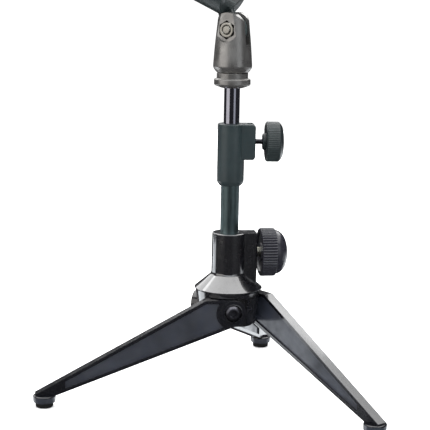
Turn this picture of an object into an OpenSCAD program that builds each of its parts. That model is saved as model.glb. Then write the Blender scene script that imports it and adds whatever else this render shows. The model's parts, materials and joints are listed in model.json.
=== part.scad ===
// Desktop microphone stand: die-cast tripod hub with three folding legs, a two-section pole
// with two clamping knobs, and a tilting clip on a threaded fork.
// Millimetres, Z up. The stand is on the floor plane, and the origin is under the middle of
// its box; every node is built round the pole's axis and then moved there.

/* [Feet and legs] */
// Distance of each foot's centre from the pivot, along its leg
foot_reach = 130.8; // [110:0.1:160]
// Distance of a leg's middle plane from the pole's axis
leg_plane = 21; // [20:0.1:25]
// Thickness of a leg
leg_t = 7.6; // [6.8:0.1:8.4]
// Height of the leg pivots
pivot_z = 64.6; // [60:0.1:70]
// Radius of the lug at the top of a leg
lug_r = 9.4; // [7.8:0.1:10.4]
// Length of the level top edge before a leg slopes down
leg_shoulder = 19.5; // [15:0.1:24]
// Direction of the left leg, seen from above
leg_azimuth = 189.1; // [180:0.1:200]
// Width of the rim round the sunk panel of a leg
panel_rim = 2.3; // [1.5:0.1:3.5]
// Depth of the sunk panels
panel_depth = 1.1; // [0.5:0.1:2]
// Radius of the metal disc over a foot
disc_r = 8; // [7:0.1:11]
// Thickness of that disc
disc_t = 4.8; // [4:0.1:6]
// Radius of a rubber foot
pad_r = 6.2; // [4:0.1:6.6]
// Height of rubber that shows under the disc
pad_t = 3.7; // [2:0.1:6]

/* [Hub] */
// Height of the hub's lower face
hub_bottom = 53; // [48:0.5:56]
// Length of the collar above the cone
collar_l = 29.3; // [24:0.1:38]
// Radius of the collar
collar_r = 12.1; // [11:0.1:13.5]
// Radius of the cone's rim
rim_r = 24; // [22.5:0.1:26]
// Height of the cone
cone_h = 10.4; // [8:0.1:13]
// Height of the metal between the leg pockets and the rim
pocket_roof = 4.2; // [3:0.1:7]
// Distance from the axis to the end of the rib that takes the clamping stud
rib_reach = 19.2; // [17:0.1:22]
// Thickness of that rib
rib_t = 14.6; // [12:0.1:17]

/* [Tubes] */
// Outer diameter of the lower tube
lower_tube_d = 13; // [12.5:0.1:15.6]
// Outer diameter of the upper tube
upper_tube_d = 11; // [9.5:0.1:11.2]
// Wall of the upper tube
upper_wall = 1.2; // [0.8:0.1:2]
// Length of lower tube that shows between the hub and the clutch
lower_show = 33.5; // [15:0.1:60]
// Length of upper tube that shows between the clutch and the top collar
upper_show = 25; // [10:0.1:60]
// Height of the lower tube's end above the hub's lower face
lower_tube_rise = 3; // [2:0.5:12]
// Length of upper tube that hangs inside the lower one, below the clutch
upper_tube_hang = 44; // [30:1:70]

/* [Clutch] */
// Length of the clutch body
clutch_l = 43.6; // [38:0.1:55]
// Radius of the clutch body
clutch_r = 9.5; // [9:0.1:11]
// Reach of its side boss from the axis
boss_reach = 16.8; // [15:0.1:20]
// Height of the side boss
boss_h = 25; // [20:0.1:30]
// Width of the side boss
boss_w = 13; // [10:0.1:15]
// Direction of the clutch knob, seen from above
clutch_azimuth = 4; // [0:1:359]

/* [Knobs] */
// Radius of the base knob
base_knob_r = 17.2; // [13:0.1:18]
// Length of its ribbed band
base_knob_band = 12; // [9:0.1:15]
// Height of its domed end
base_knob_dome = 7.4; // [4:0.1:9]
// Radius of the base knob's stud
base_stud_r = 3.95; // [3:0.05:4.5]
// Radius of the clutch knob
clutch_knob_r = 14.1; // [10:0.1:15]
// Length of the clutch knob
clutch_knob_l = 12.8; // [9:0.1:16]
// Radius of the clutch knob's screw
clutch_screw_r = 1.95; // [1.5:0.05:2.5]

/* [Fork and clip] */
// Radius of the threaded stud on top of the pole
thread_r = 7.9; // [7:0.05:9.5]
// Radius of the top collar's flange
flange_r = 12.7; // [12:0.1:15]
// Radius of the fork at its widest
fork_r = 13.7; // [13:0.1:16.5]
// Height of the clip's bolt above the fork's lower face
bolt_rise = 29.4; // [27:0.1:33]
// Width of the fork's slot
slot_w = 6.5; // [5.5:0.1:7.5]
// Radius of the fork's round ear tops
ear_r = 11.8; // [11:0.1:12.5]
// Direction of the slot's open side, seen from above
fork_azimuth = -28.6; // [-180:0.1:180]
// Nose-up tilt of the clip
clip_tilt = 23; // [0:1:45]
// Radius of the microphone that the clip holds
grip_r = 13.2; // [11:0.1:14]
// Mean wall of the clip, which is thick below and thin at the lips
clip_wall = 4.4; // [4:0.1:5]
// Length of the clip
clip_l = 58; // [45:1:70]
// Half of the angle of the clip's open top
clip_mouth = 52; // [40:1:65]

/* [Hidden] */
$fn = 96;
cut = 1;                    // how far a cut runs past the face that it opens
fit = 0.05;                 // running clearance, on the radius
seat = 0.02;                // clearance of two pieces that are fixed together
face_gap = 0.05;            // gap between faces that slide on each other

// Feet
disc_top = pad_t + disc_t;
stem_r = pad_r / 2.4;
stem_h = 3;
foot_round = 0.8;           // rounding of the disc's upper edge

// Leg pivots
washer_t = 0.5;
screw_r = 2.95;
head_r = lug_r - 3.8;
head_h = 3.1;
socket_r = 2.3;
ring_r = lug_r - 2;         // counterbore for the screw head
ring_h = 0.6;               // how far the ring round it stands out
ring_depth = 0.9;
screw_bite = 8;             // length of thread in the hub
pocket_y = leg_plane - leg_t / 2 - washer_t - 2 * face_gap;
leg_outer = leg_plane + leg_t / 2;
pocket_gap = 0.6;           // room over and behind the lug

// Hub heights
pocket_top = pivot_z + lug_r + pocket_gap;
rim_z = pocket_top + pocket_roof - pocket_gap;
collar_z = rim_z + cone_h;
hub_top = collar_z + collar_l;
skirt_taper = 0.14;         // inward lean of the skirt, per unit of height
base_knob_z = hub_top - collar_l / 2;
base_azimuth = leg_azimuth - 180;
rib_fillet = 3;

// Pole heights
lower_r = lower_tube_d / 2;
upper_r = upper_tube_d / 2;
lower_end = hub_bottom + lower_tube_rise;
clutch_z = hub_top + lower_show;
clutch_top = clutch_z + clutch_l;
tube_shoulder = clutch_top - boss_h - 1;
collar_bottom = clutch_top + upper_show;
upper_end = clutch_z - upper_tube_hang;
plug_l = 5;
clutch_knob_z = clutch_top - boss_h / 2;

// Clamping screws: lengths from the pole's axis
pad_l = 2;
tip_gap = 0.1;              // gap between a pad's tip and its tube
base_tip = lower_r + tip_gap;
base_knob_x = rib_reach + 2.6;
clutch_tip = upper_r + tip_gap;
clutch_boss_x = boss_reach + 5.2;
knob_boss_r = 5.85;
knob_boss_l = 2;
clutch_nut_af = 7;
clutch_nut_t = 3.2;
clutch_nut_x = boss_reach - 5.4;

// Top collar and fork
flange_bevel = 1.7;
flange_h = 6.2;
collar_neck_r = thread_r + 3;
collar_neck_h = 4.2;
collar_top = collar_bottom + flange_h + collar_neck_h;
fork_gap = 0.3;
fork_z = collar_top + fork_gap;
fork_foot_h = 3.2;          // bevelled lower edge
stud_h = 13;
insert_wall = 1.7;
insert_h = stud_h + 1.5;
bolt_z = fork_z + bolt_rise;
slot_floor = bolt_z - 10.2;
tongue_r = 9.6;
fork_flat = fork_r - 4.3;   // distance of the ears' flats from the axis
flat_r = 8.4;
bolt_r = 2.95;
nut_af = 10;
nut_pocket_af = 11.5;
nut_pocket_depth = 3.3;
nut_t = 3.9;
bolt_head_r = 5;
bolt_head_h = 2.8;
bolt_end = 1;               // bolt that shows past the flat
tongue_t = slot_w - 2 * washer_t - 4 * face_gap;
mic_gap = 1.2;              // room between a held microphone and the ears
grip_z = ear_r + mic_gap + grip_r;
clip_end = 8.5;             // distance of the clip's near end in front of the bolt
clip_r = grip_r + clip_wall;
clip_belly = 3;             // how far the outside lies lower than the bore
ear_gap = 0.6;              // gap between the ears and the hollow that they turn in
tongue_foot = 18;           // distance of the tongue's front end in front of the bolt

// The feet set the box, so the pole's axis goes where the box is centred on the origin
leg_names = ["left", "right", "back"];
leg_turns = [for (i = [0:2]) leg_azimuth + 120 * i];
feet = [for (a = leg_turns) [
    foot_reach * cos(a) - leg_plane * sin(a),
    foot_reach * sin(a) + leg_plane * cos(a)]];
foot_xs = [for (p = feet) p[0]];
foot_ys = [for (p = feet) p[1]];
pole_x = -(min(foot_xs) + max(foot_xs)) / 2;
pole_y = -(min(foot_ys) + max(foot_ys)) / 2;

// Colours
gloss_black = [0.05, 0.05, 0.06];
bar_black = [0.16, 0.16, 0.19];
rubber_black = [0.03, 0.03, 0.03];
satin_green = [0.2, 0.26, 0.27];
dark_chrome = [0.45, 0.45, 0.5];
knob_black = [0.12, 0.13, 0.14];
zinc = [0.75, 0.74, 0.7];
fork_grey = [0.5, 0.5, 0.48];
clip_grey = [0.22, 0.28, 0.28];
brass = [0.72, 0.58, 0.3];

// --- Placing helpers ---------------------------------------------------------------------

// Move from the pole's axis to the part's own frame
module at_pole() {
    translate([pole_x, pole_y, 0]) children();
}

// Into a leg's frame: X along the leg, Y out through its pivot
module at_leg(i) {
    at_pole() rotate([0, 0, leg_turns[i]]) children();
}

// Into a clamping screw's frame: Z runs out along the screw, from the pole's axis
module along_screw(azimuth, height) {
    at_pole() rotate([0, 0, azimuth]) translate([0, 0, height]) rotate([0, 90, 0]) children();
}

// Into the fork's frame: X along the slot, Y along the bolt, origin on the bolt
module at_bolt() {
    at_pole() rotate([0, 0, fork_azimuth]) translate([0, 0, bolt_z]) children();
}

// Extrude an X-Z outline from y0 to y1
module slab(y0, y1) {
    translate([0, y1, 0]) rotate([90, 0, 0]) linear_extrude(y1 - y0) children();
}

// Round bar along Y from y0 to y1
module bar_y(r, y0, y1, sides = $fn) {
    translate([0, y1, 0]) rotate([90, 0, 0]) cylinder(r = r, h = y1 - y0, $fn = sides);
}

module tube(r_out, r_in, h) {
    difference() {
        cylinder(r = r_out, h = h);
        translate([0, 0, -cut]) cylinder(r = r_in, h = h + 2 * cut);
    }
}

// --- Hub ---------------------------------------------------------------------------------

module hub_turning() {
    skirt_h = rim_z - hub_bottom;
    lip = 0.7;
    rotate_extrude() polygon([
        [lower_r + fit, hub_bottom],
        [rim_r - lip - skirt_taper * skirt_h, hub_bottom],
        [rim_r - lip, rim_z - lip],
        [rim_r, rim_z],
        [rim_r, rim_z + lip / 2],
        [collar_r + 0.2, collar_z],
        [collar_r, collar_z + lip],
        [collar_r, hub_top - lip],
        [collar_r - lip, hub_top],
        [lower_r + fit, hub_top]
    ]);
}

// Plan of the rib, with a fillet where it leaves the collar
module rib_plan() {
    half = rib_t / 2;
    fillet_y = half + rib_fillet;
    fillet_x = sqrt((collar_r + rib_fillet) ^ 2 - fillet_y ^ 2);
    touch = collar_r / (collar_r + rib_fillet);
    translate([lower_r + cut, -half]) square([rib_reach - lower_r - cut, rib_t]);
    for (side = [-1, 1]) scale([1, side]) difference() {
        polygon([
            [lower_r + cut, 0],
            [fillet_x, half],
            [fillet_x, fillet_y],
            [fillet_x * touch, fillet_y * touch]
        ]);
        translate([fillet_x, fillet_y]) circle(r = rib_fillet);
    }
}

// Room for one leg's lug in the skirt
module leg_pocket() {
    back = lug_r + 2 * pocket_gap;
    translate([-back, pocket_y, hub_bottom - cut])
        cube([back + 2 * rim_r, rim_r, pocket_top - hub_bottom + cut]);
}

module hub() {
    color(gloss_black) difference() {
        union() {
            at_pole() hub_turning();
            at_pole() rotate([0, 0, base_azimuth]) translate([0, 0, rim_z])
                linear_extrude(hub_top - rim_z) rib_plan();
        }
        along_screw(base_azimuth, base_knob_z) cylinder(r = base_stud_r + fit, h = rib_reach + cut);
        for (i = [0:2]) at_leg(i) {
            leg_pocket();
            translate([0, 0, pivot_z]) bar_y(screw_r + seat, pocket_y - screw_bite, pocket_y + cut);
        }
    }
}

// --- Leg pivots --------------------------------------------------------------------------

module pivot_screws() {
    head_y = leg_outer - ring_depth + face_gap;
    color(dark_chrome) for (i = [0:2]) at_leg(i) translate([0, 0, pivot_z]) difference() {
        union() {
            bar_y(screw_r, pocket_y - screw_bite + 0.5, head_y + 0.5);
            translate([0, head_y, 0]) rotate([-90, 0, 0]) rotate_extrude() polygon([
                [0, 0],
                [head_r, 0],
                [head_r, head_h * 0.35],
                [head_r * 0.86, head_h * 0.75],
                [head_r * 0.6, head_h],
                [0, head_h]
            ]);
        }
        bar_y(socket_r, head_y + head_h - 2, head_y + head_h + cut, 6);
    }
}

module pivot_washers() {
    washer_r = lug_r - 1.4;
    color(rubber_black) for (i = [0:2]) at_leg(i)
        translate([0, pocket_y + face_gap, pivot_z]) rotate([-90, 0, 0])
            tube(washer_r, screw_r + fit, washer_t);
}

// --- Legs and feet -----------------------------------------------------------------------

// Point where a line from q touches the lower side of a circle of radius r round the pivot
function touch_point(q, r) =
    let (dx = q[0], dz = q[1] - pivot_z, far = sqrt(dx ^ 2 + dz ^ 2))
    let (a = atan2(dz, dx) - acos(r / far))
    [r * cos(a), pivot_z + r * sin(a)];

tip_s = foot_reach + disc_r * 0.8;
tip_top = disc_top + 1.3;
tip_low = pad_t + disc_t * 0.4;
top_slope = atan2(pivot_z + lug_r - tip_top, tip_s - leg_shoulder);
low_slope = atan2(pivot_z - lug_r - tip_low, foot_reach);

// Outline of a leg, drawn in by a margin all round
module leg_outline(margin) {
    level = pivot_z + lug_r - margin;
    tip_low_in = [foot_reach, tip_low + margin / cos(low_slope)];
    circle_r = lug_r - margin;
    union() {
        translate([0, pivot_z]) circle(r = circle_r);
        polygon([
            [0, level],
            [leg_shoulder - margin * tan(top_slope / 2), level],
            [tip_s, tip_top - margin / cos(top_slope)],
            [tip_s, tip_low + margin],
            tip_low_in,
            touch_point(tip_low_in, circle_r),
            [0, pivot_z]
        ]);
    }
}

module leg_panel() {
    panel_start = lug_r + 2.2;
    panel_end = foot_reach - 14;
    difference() {
        intersection() {
            leg_outline(panel_rim);
            square([panel_end, pivot_z + 2 * lug_r]);
        }
        translate([0, pivot_z]) circle(r = panel_start);
    }
}

module leg(i) {
    inner = leg_plane - leg_t / 2;
    color(bar_black) at_leg(i) difference() {
        union() {
            slab(inner, leg_outer) leg_outline(0);
            translate([0, 0, pivot_z]) bar_y(lug_r - 0.5, inner, leg_outer + ring_h);
            translate([foot_reach, leg_plane, pad_t]) rotate_extrude() polygon([
                [0, 0],
                [disc_r - 0.5, 0],
                [disc_r, 0.5],
                [disc_r, disc_t - foot_round],
                [disc_r - foot_round, disc_t],
                [0, disc_t]
            ]);
        }
        slab(inner - cut, inner + panel_depth) leg_panel();
        slab(leg_outer - panel_depth, leg_outer + cut) leg_panel();
        translate([0, 0, pivot_z]) {
            bar_y(screw_r + fit, inner - cut, leg_outer + cut);
            bar_y(ring_r, leg_outer - ring_depth, leg_outer + ring_h + cut);
        }
        translate([foot_reach, leg_plane, pad_t - cut]) cylinder(r = stem_r + seat, h = stem_h + cut);
    }
}

module leg_left() { leg(0); }
module leg_right() { leg(1); }
module leg_back() { leg(2); }

module foot(i) {
    color(rubber_black) at_leg(i) translate([foot_reach, leg_plane, 0]) rotate_extrude() polygon([
        [0, 0],
        [pad_r - 0.6, 0],
        [pad_r, 0.6],
        [pad_r, pad_t - seat],
        [stem_r, pad_t - seat],
        [stem_r, pad_t + stem_h - 0.2],
        [0, pad_t + stem_h - 0.2]
    ]);
}

module foot_left() { foot(0); }
module foot_right() { foot(1); }
module foot_back() { foot(2); }

// --- Knobs and their screws --------------------------------------------------------------

// Ribbed wheel round Z, with its ribs cut as rounded grooves
module ribbed_wheel(r, h, ribs, groove_r) {
    difference() {
        cylinder(r = r, h = h);
        for (k = [0:ribs - 1]) rotate([0, 0, 360 * k / ribs])
            translate([r + groove_r * 0.55, 0, -cut]) cylinder(r = groove_r, h = h + 2 * cut, $fn = 16);
    }
}

module base_pad() {
    color(brass) along_screw(base_azimuth, base_knob_z) translate([0, 0, base_tip])
        cylinder(r = base_stud_r - 0.5, h = pad_l);
}

module base_stud() {
    start = base_tip + pad_l + face_gap;
    color(zinc) along_screw(base_azimuth, base_knob_z) translate([0, 0, start])
        cylinder(r = base_stud_r, h = base_knob_x + base_knob_band * 0.7 - start);
}

module base_knob() {
    dome_flat = base_knob_r * 0.2;
    steps = 12;
    rim = base_knob_r - 1.2;
    color(knob_black) along_screw(base_azimuth, base_knob_z) translate([0, 0, base_knob_x]) difference() {
        union() {
            ribbed_wheel(base_knob_r, base_knob_band, 48, 0.85);
            rotate_extrude() polygon(concat(
                [[0, 0], [rim, 0]],
                [for (k = [0:steps])
                    let (a = 90 * k / steps)
                    [dome_flat + (rim - dome_flat) * cos(a), base_knob_band + base_knob_dome * sin(a)]],
                [[0, base_knob_band + base_knob_dome]]
            ));
        }
        translate([0, 0, -cut]) cylinder(r = base_stud_r + seat, h = base_knob_band * 0.7 + cut + seat);
    }
}

module clutch_pad() {
    color(brass) along_screw(clutch_azimuth, clutch_knob_z) translate([0, 0, clutch_tip])
        cylinder(r = clutch_screw_r - 0.2, h = pad_l);
}

module clutch_screw() {
    start = clutch_tip + pad_l + face_gap;
    color(zinc) along_screw(clutch_azimuth, clutch_knob_z) translate([0, 0, start])
        cylinder(r = clutch_screw_r, h = clutch_boss_x + clutch_knob_l * 0.8 - start);
}

module clutch_knob() {
    crown = 3;
    rim = clutch_knob_r - 1;
    wheel_x = clutch_boss_x + knob_boss_l;
    wheel_l = clutch_knob_l - crown;
    color(knob_black) along_screw(clutch_azimuth, clutch_knob_z) difference() {
        union() {
            translate([0, 0, clutch_boss_x]) cylinder(r = knob_boss_r, h = knob_boss_l + cut);
            translate([0, 0, wheel_x]) ribbed_wheel(clutch_knob_r, wheel_l, 36, 0.9);
            translate([0, 0, wheel_x]) rotate_extrude() polygon([
                [0, 0],
                [rim, 0],
                [rim, wheel_l],
                [rim * 0.93, wheel_l + crown * 0.45],
                [rim * 0.75, wheel_l + crown * 0.8],
                [rim * 0.45, wheel_l + crown],
                [0, wheel_l + crown]
            ]);
        }
        translate([0, 0, clutch_boss_x - cut])
            cylinder(r = clutch_screw_r + seat, h = clutch_knob_l * 0.8 + cut + seat);
    }
}

// --- Lower pole --------------------------------------------------------------------------

module lower_tube() {
    color(satin_green) at_pole() translate([0, 0, lower_end])
        tube(lower_r, upper_r + fit, tube_shoulder - lower_end);
}

// Plastic plug in the lower tube's end: it turns there, and rises and falls with the tube
module lower_tube_plug() {
    color(rubber_black) at_pole() translate([0, 0, lower_end + face_gap])
        cylinder(r = upper_r, h = plug_l);
}

module clutch_outline() {
    bevel = 2.4;
    lip = 0.6;
    rotate_extrude() polygon([
        [0, clutch_z],
        [clutch_r - bevel, clutch_z],
        [clutch_r, clutch_z + bevel],
        [clutch_r, clutch_top - lip],
        [clutch_r - lip, clutch_top],
        [0, clutch_top]
    ]);
}

module clutch_body() {
    boss_z = clutch_top - boss_h;
    bevel = 1.5;
    nut_slot_w = clutch_nut_af + 0.3;
    color(knob_black) difference() {
        at_pole() union() {
            clutch_outline();
            rotate([0, 0, clutch_azimuth]) slab(-boss_w / 2, boss_w / 2) polygon([
                [0, boss_z],
                [boss_reach - bevel, boss_z],
                [boss_reach, boss_z + bevel],
                [boss_reach, clutch_top - bevel],
                [boss_reach - bevel, clutch_top],
                [0, clutch_top]
            ]);
        }
        at_pole() translate([0, 0, clutch_z - cut]) cylinder(r = lower_r + seat, h = tube_shoulder - clutch_z + cut);
        at_pole() translate([0, 0, clutch_z]) cylinder(r = upper_r + fit, h = clutch_l + cut);
        along_screw(clutch_azimuth, clutch_knob_z) cylinder(r = clutch_screw_r + fit, h = boss_reach + cut);
        at_pole() rotate([0, 0, clutch_azimuth])
            translate([clutch_nut_x - 0.1, -nut_slot_w / 2, clutch_knob_z - clutch_nut_af * 0.6])
                cube([clutch_nut_t + 0.2, nut_slot_w, clutch_l]);
    }
}

module clutch_nut() {
    color(zinc) along_screw(clutch_azimuth, clutch_knob_z) translate([0, 0, clutch_nut_x]) difference() {
        cylinder(r = clutch_nut_af / sqrt(3), h = clutch_nut_t, $fn = 6);
        translate([0, 0, -cut]) cylinder(r = clutch_screw_r + fit, h = clutch_nut_t + 2 * cut);
    }
}

// --- Upper pole --------------------------------------------------------------------------

module upper_tube() {
    color(dark_chrome) at_pole() translate([0, 0, upper_end])
        tube(upper_r, upper_r - upper_wall, collar_top + stud_h / 2 - upper_end);
}

module upper_tube_plug() {
    color(rubber_black) at_pole() translate([0, 0, upper_end + face_gap])
        cylinder(r = upper_r - upper_wall - fit, h = plug_l);
}

module top_collar() {
    edge = 0.6;
    flange_top = collar_bottom + flange_h;
    color(fork_grey) at_pole() rotate_extrude() polygon([
        [upper_r + seat, collar_bottom],
        [upper_r + 2, collar_bottom],
        [flange_r - edge, collar_bottom + flange_bevel],
        [flange_r, collar_bottom + flange_bevel + edge],
        [flange_r, flange_top - edge],
        [flange_r - edge, flange_top],
        [collar_neck_r, flange_top],
        [collar_neck_r, collar_top],
        [upper_r + seat, collar_top]
    ]);
}

module threaded_stud() {
    color(zinc) at_pole() translate([0, 0, collar_top]) difference() {
        cylinder(r = thread_r, h = stud_h);
        translate([0, 0, -cut]) cylinder(r = upper_r + seat, h = stud_h / 2 + cut + seat);
    }
}

// --- Fork --------------------------------------------------------------------------------

module thread_insert() {
    color(brass) at_pole() translate([0, 0, fork_z])
        tube(thread_r + insert_wall, thread_r + fit, insert_h);
}

module fork() {
    top = bolt_z + ear_r;
    ear_h = top - slot_floor;
    color(fork_grey) difference() {
        intersection() {
            at_pole() rotate_extrude() polygon([
                [0, fork_z],
                [collar_neck_r + 0.2, fork_z],
                [fork_r, fork_z + fork_foot_h],
                [fork_r - 1.1, fork_z + fork_foot_h + 16],
                [fork_r - 2.2, bolt_z],
                [fork_r - 3.4, top + cut],
                [0, top + cut]
            ]);
            at_bolt() union() {
                bar_y(ear_r, -2 * fork_r, 2 * fork_r);
                translate([-2 * fork_r, -2 * fork_r, -bolt_rise - cut])
                    cube([4 * fork_r, 4 * fork_r, bolt_rise + cut]);
            }
        }
        at_pole() translate([0, 0, fork_z - cut])
            cylinder(r = thread_r + insert_wall + seat, h = insert_h + cut + seat);
        at_bolt() {
            translate([-2 * fork_r, -slot_w / 2, slot_floor - bolt_z])
                cube([4 * fork_r, slot_w, ear_h + cut]);
            bar_y(bolt_r + seat, -fork_r, fork_r);
            for (side = [0, 180]) rotate([0, 0, side]) {
                bar_y(flat_r, fork_flat, 2 * fork_r);
                translate([-flat_r, fork_flat, 0]) cube([2 * flat_r, 2 * fork_r, ear_r + cut]);
            }
            translate([0, -fork_flat - cut, 0]) rotate([-90, 30, 0])
                cylinder(r = nut_pocket_af / sqrt(3), h = nut_pocket_depth + cut, $fn = 6);
            bar_y(bolt_head_r + 0.3, fork_flat - bolt_head_h, fork_flat + cut);
        }
    }
}

module fork_nut() {
    color(zinc) at_bolt() translate([0, -fork_flat + nut_pocket_depth - nut_t - face_gap, 0])
        rotate([-90, 30, 0]) difference() {
            cylinder(r = nut_af / sqrt(3), h = nut_t, $fn = 6);
            translate([0, 0, -cut]) cylinder(r = bolt_r + seat, h = nut_t + 2 * cut);
        }
}

module fork_bolt() {
    head_y = fork_flat - bolt_head_h + face_gap;
    color(zinc) at_bolt() {
        bar_y(bolt_r, -fork_flat - bolt_end, head_y + 0.5);
        bar_y(bolt_head_r, head_y, head_y + bolt_head_h);
    }
}

// --- Clip --------------------------------------------------------------------------------

module clip_washers() {
    color(rubber_black) at_bolt() for (side = [0, 180]) rotate([0, 0, side])
        translate([0, tongue_t / 2 + face_gap, 0]) rotate([-90, 0, 0])
            tube(tongue_r - 1.6, bolt_r + fit, washer_t);
}

// A cylinder along the clip's axis, running forward from a point short of its near end
module clip_bar(r, z, extra) {
    translate([-clip_end - clip_l - extra, 0, z]) rotate([0, 90, 0]) cylinder(r = r, h = clip_l + 2 * extra);
}

// The clip's barrel, hollowed below for the ears
module clip_barrel() {
    difference() {
        clip_bar(clip_r, grip_z - clip_belly, 0);
        bar_y(ear_r + ear_gap, -clip_r, clip_r);
    }
}

module clip() {
    mouth_reach = 2 * clip_r;
    color(clip_grey) at_bolt() rotate([0, clip_tilt, 0]) difference() {
        union() {
            clip_barrel();
            bar_y(tongue_r, -tongue_t / 2, tongue_t / 2);
            slab(-tongue_t / 2, tongue_t / 2) polygon([
                [-tongue_r, 0],
                [-tongue_foot, ear_r - 1],
                [-tongue_foot, grip_z - grip_r + 1],
                [-clip_end, grip_z - grip_r + 1],
                [tongue_r, 0]
            ]);
        }
        clip_bar(grip_r, grip_z, cut);
        translate([-clip_end - clip_l - cut, 0, grip_z]) rotate([90, 0, 90]) linear_extrude(clip_l + 2 * cut)
            polygon([
                [0, 0],
                [mouth_reach * sin(clip_mouth), mouth_reach * cos(clip_mouth)],
                [-mouth_reach * sin(clip_mouth), mouth_reach * cos(clip_mouth)]
            ]);
        bar_y(bolt_r + fit, -tongue_t, tongue_t);
    }
}

hub();
pivot_screws();
pivot_washers();
leg_left();
leg_right();
leg_back();
foot_left();
foot_right();
foot_back();
base_pad();
base_stud();
base_knob();
lower_tube_plug();
lower_tube();
clutch_body();
clutch_nut();
clutch_pad();
clutch_screw();
clutch_knob();
upper_tube_plug();
upper_tube();
top_collar();
threaded_stud();
thread_insert();
fork();
fork_bolt();
fork_nut();
clip();
clip_washers();
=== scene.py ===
# %% [markdown]
# # A desktop microphone stand
# The stand is a die-cast hub on three folding legs, a pole of two sliding tubes with a clamping
# knob on each, and a tilting clip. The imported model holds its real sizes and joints. This lesson
# builds the visible skin of each piece round that frame: turned and cast shapes with bmesh
# operators, then a procedural finish for each material.

# %% Load the frame
import json
import math

import bmesh
import bpy
from mathutils import Matrix, Vector


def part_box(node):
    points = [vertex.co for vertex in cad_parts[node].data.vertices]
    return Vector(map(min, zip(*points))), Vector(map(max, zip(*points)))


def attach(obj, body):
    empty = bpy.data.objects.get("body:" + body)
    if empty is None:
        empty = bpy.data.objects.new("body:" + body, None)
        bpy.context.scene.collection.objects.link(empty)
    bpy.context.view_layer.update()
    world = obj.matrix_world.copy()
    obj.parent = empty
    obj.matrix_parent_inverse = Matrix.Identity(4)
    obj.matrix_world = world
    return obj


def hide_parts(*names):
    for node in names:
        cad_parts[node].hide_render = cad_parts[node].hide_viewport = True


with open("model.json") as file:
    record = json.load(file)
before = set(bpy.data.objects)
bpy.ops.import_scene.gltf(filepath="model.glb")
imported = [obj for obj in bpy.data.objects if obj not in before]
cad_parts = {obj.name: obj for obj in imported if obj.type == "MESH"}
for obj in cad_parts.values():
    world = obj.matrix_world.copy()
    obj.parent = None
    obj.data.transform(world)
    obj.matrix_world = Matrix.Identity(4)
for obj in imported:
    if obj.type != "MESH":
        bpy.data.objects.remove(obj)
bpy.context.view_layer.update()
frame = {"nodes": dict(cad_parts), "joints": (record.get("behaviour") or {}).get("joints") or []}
joints = {joint["name"]: joint for joint in frame["joints"]}
print("pieces in the frame:", len(frame["nodes"]), "joints:", len(joints))

# %% [markdown]
# ## Where things are
# Every place comes from the frame's joints. The shapes are drawn in millimetres, each in a
# handy frame of its own: upright on the pole, along a leg, along a screw, or on the clip's
# bolt. A matrix then carries the finished mesh to its place and turns it into metres, so the
# object itself stays at the origin, unturned and unscaled.

# %% Named frames for drawing
MM = 0.001
POLE = Vector(joints["lower_pole_turn"]["pos_m"]) / MM
STAND = Matrix.Rotation(math.pi / 2, 4, "X")       # an X-Y outline stands up in X-Z, facing -Y
ALONG_Y = Matrix.Rotation(-math.pi / 2, 4, "X")    # a bar along Z turns to lie along +Y
ALONG_X = Matrix.Rotation(math.pi / 2, 4, "Y")     # a bar along Z turns to lie along +X


def heading(name):
    """Compass direction of a joint's axis, in radians."""
    x, y, _ = joints[name]["axis"]
    return math.atan2(y, x)


def height_of(name):
    return joints[name]["pos_m"][2] / MM


def on_pole(height=0.0, turn=0.0):
    return Matrix.Translation((POLE.x, POLE.y, height)) @ Matrix.Rotation(turn, 4, "Z")


def along_leg(side):
    """X runs along the leg, Y out through its pivot, Z up."""
    return on_pole(0.0, heading(f"leg_{side}_fold") - math.pi / 2)


def along_screw(name):
    """Z runs out of the pole's axis along a clamping screw."""
    return on_pole(height_of(name), heading(name)) @ ALONG_X


def on_bolt():
    """X runs along the fork's slot, Y along the clip's bolt."""
    return on_pole(height_of("clip_tilt"), heading("clip_tilt") - math.pi / 2)


PIVOT_Z = height_of("leg_left_fold")
BOLT_Z = height_of("clip_tilt")
SIDES = ("left", "right", "back")
print(f"pole at {POLE.x:.1f}, {POLE.y:.1f} mm")
print(f"leg pivots {PIVOT_Z:.1f} mm and clip bolt {BOLT_Z:.1f} mm up")

# %% [markdown]
# ## Camera
# The view is from the front, about as high as the clip and looking slightly down. A long lens
# from a metre away keeps the pole's sides nearly parallel, as in a catalogue picture.

# %% Camera
LENS_MM = 120.5
CAMERA_BACK = 1.0
CAMERA_HEIGHT = 0.308
PITCH, YAW, ROLL = math.radians(10.1), math.radians(-0.59), math.radians(1.05)

scene = bpy.context.scene
camera = bpy.data.objects.new("camera", bpy.data.cameras.new("camera"))
scene.collection.objects.link(camera)
camera.data.lens = LENS_MM
camera.data.clip_start, camera.data.clip_end = 0.05, 50
camera.matrix_world = (
    Matrix.Translation((POLE.x * MM, POLE.y * MM - CAMERA_BACK, CAMERA_HEIGHT))
    @ Matrix.Rotation(-YAW, 4, "Z")
    @ Matrix.Rotation(math.pi / 2 - PITCH, 4, "X")
    @ Matrix.Rotation(ROLL, 4, "Z")
)
scene.camera = camera
scene.view_settings.view_transform = "Standard"
print("camera", [round(x, 3) for x in camera.location])

# %% [markdown]
# ## Softboxes
# Gloss black shows only what it reflects, so its shape is drawn by where the lamps stand. The
# wide one overhead and the one high behind whiten every upward slope. The two flanks draw the
# upright bands down the collar and the knobs. The three low ones stand under the level of the
# floor: the floor hides their light, but not their reflection in downward slopes, such as the
# hub's skirt and the legs' sides, because the floor is left out of mirror reflections below.


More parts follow.
